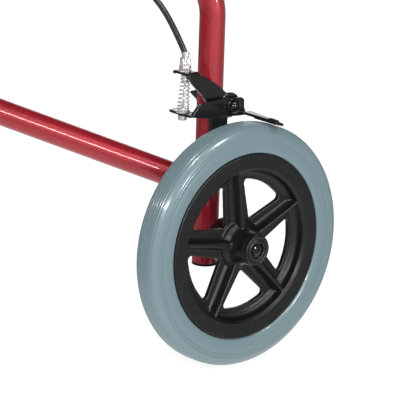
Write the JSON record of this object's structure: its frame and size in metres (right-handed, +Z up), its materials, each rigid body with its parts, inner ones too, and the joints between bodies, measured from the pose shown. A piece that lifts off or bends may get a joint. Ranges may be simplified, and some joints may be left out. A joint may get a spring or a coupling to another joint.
{
  "type": "knee scooter",
  "caption": "Four-wheeled knee scooter with folding steered column, height-adjustable knee pad, solid tyres and a cable brake on each rear wheel.",
  "frame": {"origin": "on the ground under the middle of the wheelbase, in the scooter's middle plane", "axes": "+Z up, -Y the way the scooter rolls forward, +X the rider's left"},
  "size_m": [0.5306, 0.763, 0.9005],
  "materials": {
    "red_paint": "metallic-flake red gloss enamel with clear coat",
    "black_steel": "satin black powder-coated steel",
    "zinc": "bright zinc plate",
    "rim_plastic": "satin black glass-filled nylon",
    "tyre": "smooth blue-grey polyurethane tyre",
    "cable_sheath": "glossy black vinyl sheath",
    "rubber": "matt black rubber",
    "foam_grip": "closed-cell black foam",
    "cushion": "black vinyl over foam",
    "board": "black moulded board"
  },
  "bodies": {
    "frame": {"rear_leg_left": "red_paint", "rear_leg_right": "red_paint", "lower_tube_left": "red_paint", "lower_tube_right": "red_paint", "leg_plugs": "rubber", "seat_tube": "red_paint", "post_clamp": "black_steel", "main_tube": "red_paint", "brace_tube": "red_paint", "head_tube": "red_paint", "front_beam": "red_paint", "headset_bearings": "zinc", "kingpin_bolts": "zinc", "rear_axles": "zinc", "brake_bracket_left": "black_steel", "brake_bracket_right": "black_steel", "brake_pivots": "black_steel", "cable_adjusters": "zinc", "brake_spring_left": "zinc", "brake_spring_right": "zinc", "brake_cable_left": "cable_sheath", "brake_cable_right": "cable_sheath"},
    "steerer": {"steering_shaft": "black_steel", "fold_pin": "zinc"},
    "column": {"folding_column": "red_paint"},
    "column_lever": {"column_lever": "black_steel"},
    "stem": {"stem_tube": "zinc", "handlebar": "black_steel", "grips": "foam_grip", "lever_perches": "black_steel"},
    "post": {"knee_post": "zinc", "knee_board": "board", "knee_cushion": "cushion"},
    "post_lever": {"post_lever": "black_steel"},
    "rear_wheel_left": {"rear_rim_left": "rim_plastic", "rear_tyre_left": "tyre", "rear_bearings_left": "zinc"},
    "front_wheel_left": {"front_rim_left": "rim_plastic", "front_tyre_left": "tyre", "front_bearings_left": "zinc"},
    "knuckle_left": {"knuckle_left": "black_steel", "front_axle_left": "zinc"},
    "tie_rod_left": {"tie_rod_left": "black_steel"},
    "brake_lever_left": {"brake_lever_left": "black_steel"},
    "brake_arm_left": {"brake_arm_left": "black_steel", "brake_pad_left": "rubber", "cable_stop_left": "zinc"},
    "rear_wheel_right": {"rear_rim_right": "rim_plastic", "rear_tyre_right": "tyre", "rear_bearings_right": "zinc"},
    "front_wheel_right": {"front_rim_right": "rim_plastic", "front_tyre_right": "tyre", "front_bearings_right": "zinc"},
    "knuckle_right": {"knuckle_right": "black_steel", "front_axle_right": "zinc"},
    "tie_rod_right": {"tie_rod_right": "black_steel"},
    "brake_lever_right": {"brake_lever_right": "black_steel"},
    "brake_arm_right": {"brake_arm_right": "black_steel", "brake_pad_right": "rubber", "cable_stop_right": "zinc"}
  },
  "joints": [
    {"name": "steer", "type": "hinge", "parent": "frame", "child": "steerer", "pos_m": [0, -0.235, 0.25], "axis": [0, 0, 1], "range_deg": [-35, 35], "deforming": ["brake_cable_left", "brake_cable_right"]},
    {"name": "fold", "type": "hinge", "parent": "steerer", "child": "column", "pos_m": [0, -0.257, 0.352], "axis": [1, 0, 0], "range_deg": [0, 85], "deforming": ["brake_cable_left", "brake_cable_right"]},
    {"name": "bar_height", "type": "slide", "parent": "column", "child": "stem", "axis": [0, 0, 1], "range_m": [0, 0.15], "deforming": ["brake_cable_left", "brake_cable_right"]},
    {"name": "column_lever_turn", "type": "hinge", "parent": "column", "child": "column_lever", "pos_m": [0, -0.211, 0.61], "axis": [1, 0, 0], "range_deg": [0, 110]},
    {"name": "knee_height", "type": "slide", "parent": "frame", "child": "post", "axis": [0, 0, 1], "range_m": [0, 0.09]},
    {"name": "post_lever_turn", "type": "hinge", "parent": "frame", "child": "post_lever", "pos_m": [0, 0.02794, 0.391], "axis": [-1, 0, 0], "range_deg": [0, 80]},
    {"name": "knuckle_turn_left", "type": "hinge", "parent": "frame", "child": "knuckle_left", "pos_m": [0.15, -0.28, 0.185], "axis": [0, 0, 1], "range_deg": [-35, 35]},
    {"name": "tie_rod_turn_left", "type": "hinge", "parent": "steerer", "child": "tie_rod_left", "pos_m": [0.012, -0.185, 0.162], "axis": [0, 0, 1], "range_deg": [-35, 35]},
    {"name": "front_spin_left", "type": "hinge", "parent": "knuckle_left", "child": "front_wheel_left", "pos_m": [0.202, -0.28, 0.1015], "axis": [1, 0, 0], "continuous": true},
    {"name": "rear_spin_left", "type": "hinge", "parent": "frame", "child": "rear_wheel_left", "pos_m": [0.24, 0.28, 0.1015], "axis": [1, 0, 0], "continuous": true},
    {"name": "brake_squeeze_left", "type": "hinge", "parent": "stem", "child": "brake_lever_left", "pos_m": [0.12, -0.262, 0.885], "axis": [0, 0, 1], "range_deg": [0, 13], "stiffness_Nm_per_rad": 0.4, "deforming": ["brake_cable_left"]},
    {"name": "brake_arm_turn_left", "type": "hinge", "parent": "frame", "child": "brake_arm_left", "pos_m": [0.2162, 0.29, 0.2114], "axis": [-1, 0, 0], "range_deg": [0, 2.6], "stiffness_Nm_per_rad": 0.4, "deforming": ["brake_cable_left", "brake_spring_left"]},
    {"name": "knuckle_turn_right", "type": "hinge", "parent": "frame", "child": "knuckle_right", "pos_m": [-0.15, -0.28, 0.185], "axis": [0, 0, 1], "range_deg": [-35, 35]},
    {"name": "tie_rod_turn_right", "type": "hinge", "parent": "steerer", "child": "tie_rod_right", "pos_m": [-0.012, -0.185, 0.162], "axis": [0, 0, 1], "range_deg": [-35, 35]},
    {"name": "front_spin_right", "type": "hinge", "parent": "knuckle_right", "child": "front_wheel_right", "pos_m": [-0.202, -0.28, 0.1015], "axis": [1, 0, 0], "continuous": true},
    {"name": "rear_spin_right", "type": "hinge", "parent": "frame", "child": "rear_wheel_right", "pos_m": [-0.24, 0.28, 0.1015], "axis": [1, 0, 0], "continuous": true},
    {"name": "brake_squeeze_right", "type": "hinge", "parent": "stem", "child": "brake_lever_right", "pos_m": [-0.12, -0.262, 0.885], "axis": [0, 0, -1], "range_deg": [0, 13], "stiffness_Nm_per_rad": 0.4, "deforming": ["brake_cable_right"]},
    {"name": "brake_arm_turn_right", "type": "hinge", "parent": "frame", "child": "brake_arm_right", "pos_m": [-0.2162, 0.29, 0.2114], "axis": [-1, 0, 0], "range_deg": [0, 2.6], "stiffness_Nm_per_rad": 0.4, "deforming": ["brake_cable_right", "brake_spring_right"]}
  ],
  "couplings": [
    {"joint": "knuckle_turn_left", "follows": "steer", "ratio": 1},
    {"joint": "tie_rod_turn_left", "follows": "steer", "ratio": -1},
    {"joint": "brake_arm_turn_left", "follows": "brake_squeeze_left", "ratio": 0.19},
    {"joint": "knuckle_turn_right", "follows": "steer", "ratio": 1},
    {"joint": "tie_rod_turn_right", "follows": "steer", "ratio": -1},
    {"joint": "brake_arm_turn_right", "follows": "brake_squeeze_right", "ratio": 0.19}
  ]
}
